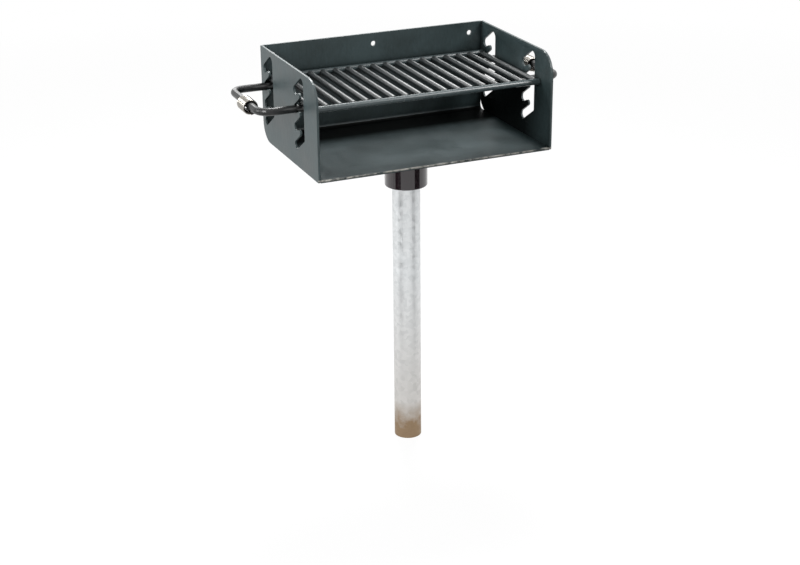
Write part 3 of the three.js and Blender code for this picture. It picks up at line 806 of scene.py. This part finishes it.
class GRILL_OT_firebox(Operator):
    """Finishes the firebox's three plates and welds their corners"""
    bl_idname = "grill.firebox"
    bl_label = "Firebox"

    def execute(self, context):
        enamel = sprayed_enamel()
        plates = ("floor_and_back_sheet", "left_side_plate", "right_side_plate")
        finish_node(enamel, *plates)
        break_edges(*plates)
        draw = random.Random(SEED + 1)
        parts = context.scene.grill_parts
        low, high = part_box("floor_and_back_sheet")
        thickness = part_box("left_side_plate")[1].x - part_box("left_side_plate")[0].x
        half = parts.seam_stitch / 2
        made = bmesh.new()
        for corner, lip_bead in ((low.x, parts.left_lip_bead), (high.x, -parts.right_lip_bead)):
            # A bead closes the floor's front corner and runs inward along the lip
            reach = Vector((lip_bead / 2, 0, 0))
            start = Vector((corner, low.y + 0.75 * parts.bead, low.z + 0.8 * thickness))
            weld_bead(made, start + reach, reach, Vector((0, -1, 1)).normalized(), draw)
            # Stitches hold the seam under the floor and up the back
            for share in FLOOR_STITCHES:
                middle = Vector((corner, low.y + (high.y - low.y) * share, low.z))
                weld_bead(made, middle, Vector((0, half, 0)), Vector((0, 0, -1)), draw)
            for share in BACK_STITCHES:
                middle = Vector((corner, high.y - 0.5 * parts.bead, low.z + (high.z - low.z) * share))
                weld_bead(made, middle, Vector((0, 0, half)), Vector((0, 1, 0)), draw)
        place_piece("firebox_welds", finish_mesh("firebox_welds", made), enamel, "firebox")
        return {"FINISHED"}


class GRILL_OT_grate(Operator):
    """Finishes the grate's rods and welds their ends"""
    bl_idname = "grill.grate"
    bl_label = "Grate"

    def execute(self, context):
        finish = context.scene.grill_finish
        # The long bars get the rods' enamel painted lighter: painted light on their front faces
        enamel = dipped_enamel("dipped_enamel_on_long_bar", finish.lit_bar_grey, 0.26)
        finish_node(enamel, "grate_front_rod", "grate_rear_rod")
        finish_node(dipped_enamel("dipped_enamel_on_short_bar", finish.rod_grey, 0.43, "Y"), *RODS)
        draw = random.Random(SEED + 2)
        parts = context.scene.grill_parts
        reach = Vector((parts.rod_bead / 2, 0, 0))
        stand = 0.25 * parts.bead
        made = bmesh.new()
        for name in RODS:
            low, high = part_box(name)
            radius = (high.x - low.x) / 2
            # A bead fills the groove under each butted end
            for beyond_end in (low.y - stand, high.y + stand):
                middle = Vector(((low.x + high.x) / 2, beyond_end, low.z + 0.4 * radius))
                weld_bead(made, middle, reach, Vector((0, 0, -1)), draw)
        place_piece("grate_welds", finish_mesh("grate_welds", made), enamel, "grate")
        return {"FINISHED"}


class GRILL_OT_handles(Operator):
    """Finishes the two bent handles and welds their legs under the outer rods"""
    bl_idname = "grill.handles"
    bl_label = "Handles"

    def execute(self, context):
        enamel = dipped_enamel("dipped_enamel_on_bent_bar", context.scene.grill_finish.handle_black, 0.3)
        finish_node(enamel, "left_handle", "right_handle")
        draw = random.Random(SEED + 3)
        reach = Vector((context.scene.grill_parts.leg_bead / 2, 0, 0))
        made = bmesh.new()
        for handle, rod in (("left_handle", RODS[0]), ("right_handle", RODS[-1])):
            low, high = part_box(handle)
            rod_low, rod_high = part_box(rod)
            radius = (high.z - low.z) / 2
            for leg in (low.y + radius, high.y - radius):
                # A bead on each side of the leg fills the groove between it and the rod
                for side in (-1, 1):
                    middle = Vector(((rod_low.x + rod_high.x) / 2, leg + side * 0.7 * radius,
                                     high.z + 0.15 * radius))
                    weld_bead(made, middle, reach, Vector((0, side, 0.2)).normalized(), draw)
        place_piece("handle_welds", finish_mesh("handle_welds", made), enamel, "grate")
        return {"FINISHED"}


class GRILL_OT_grips(Operator):
    """Winds the two spring-wire grips, in place of their CAD solids"""
    bl_idname = "grill.grips"
    bl_label = "Grips"

    def execute(self, context):
        wire_finish = plated_wire()
        for grip in ("left_grip", "right_grip"):
            piece = place_piece(grip + "_coil", self.wind(grip), wire_finish, grip)
            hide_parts(grip)
        return {"FINISHED"}

    def wind(self, grip):
        """The wire's mesh, wound inside the box of the CAD grip."""
        parts = bpy.context.scene.grill_parts
        low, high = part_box(grip)
        centre = (low + high) / 2
        thin = parts.wire / 2
        radius = (high.z - low.z) / 2 - thin
        turns = parts.coil_turns
        # The turn at each end lies against its neighbour, and the others share out the rest
        room = high.y - low.y - parts.wire
        opened = (room - 2 * parts.closed_pitch) / (turns - 2)
        path, across, sizes = [], [], []
        y = low.y + thin
        for i in range(turns * WINDING_STEPS + 1):
            a = -math.pi / 2 + 2 * math.pi * i / WINDING_STEPS
            out = Vector((math.cos(a), 0.0, math.sin(a)))
            path.append(Vector((centre.x, y, centre.z)) + out * radius)
            across.append(out)
            sizes.append((thin, thin))
            at_end = i < WINDING_STEPS or i >= (turns - 1) * WINDING_STEPS
            y += (parts.closed_pitch if at_end else opened) / WINDING_STEPS
        made = bmesh.new()
        sweep(made, path, across, sizes, WIRE_SIDES)
        mesh = finish_mesh(grip + "_coil", made, degrees=50)
        # How deep each point lies between the turns, for the painted shade
        groove = mesh.attributes.new("groove", "FLOAT", "POINT")
        for vertex in mesh.vertices:
            rise = math.hypot(vertex.co.x - centre.x, vertex.co.z - centre.z) - radius
            groove.data[vertex.index].value = min(1.0, max(0.0, 1.0 - rise / (GROOVE_TOP * thin)))
        return mesh


class GRILL_PT_sidebar(Panel):
    """Lists the steps in the order in which they run"""
    bl_idname = "GRILL_PT_sidebar"
    bl_label = "Park Barbecue Grill"
    bl_space_type = "VIEW_3D"
    bl_region_type = "UI"
    bl_category = "Park Grill"

    def draw(self, context):
        scene = context.scene
        for step in STEPS:
            self.layout.operator(step.bl_idname)
        for settings in (scene.grill_stage, scene.grill_finish, scene.grill_parts):
            box = self.layout.box()
            for name in settings.__annotations__:
                box.prop(settings, name)


SETTINGS = {"grill_stage": StageSettings, "grill_finish": FinishSettings, "grill_parts": PartSettings}
STEPS = (GRILL_OT_stage, GRILL_OT_post, GRILL_OT_swivel, GRILL_OT_firebox, GRILL_OT_grate,
         GRILL_OT_handles, GRILL_OT_grips)


def register():
    """Registers the classes and gives every scene the three groups of settings."""
    for kind in (*SETTINGS.values(), *STEPS, GRILL_PT_sidebar):
        bpy.utils.register_class(kind)
    for name, kind in SETTINGS.items():
        setattr(bpy.types.Scene, name, PointerProperty(type=kind))


def unregister():
    """Takes back what register did."""
    for name in SETTINGS:
        delattr(bpy.types.Scene, name)
    for kind in (GRILL_PT_sidebar, *reversed(STEPS), *SETTINGS.values()):
        bpy.utils.unregister_class(kind)


def main():
    """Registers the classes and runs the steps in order."""
    register()
    for step in STEPS:
        group, name = step.bl_idname.split(".")
        getattr(getattr(bpy.ops, group), name)()


if __name__ == "__main__":
    main()
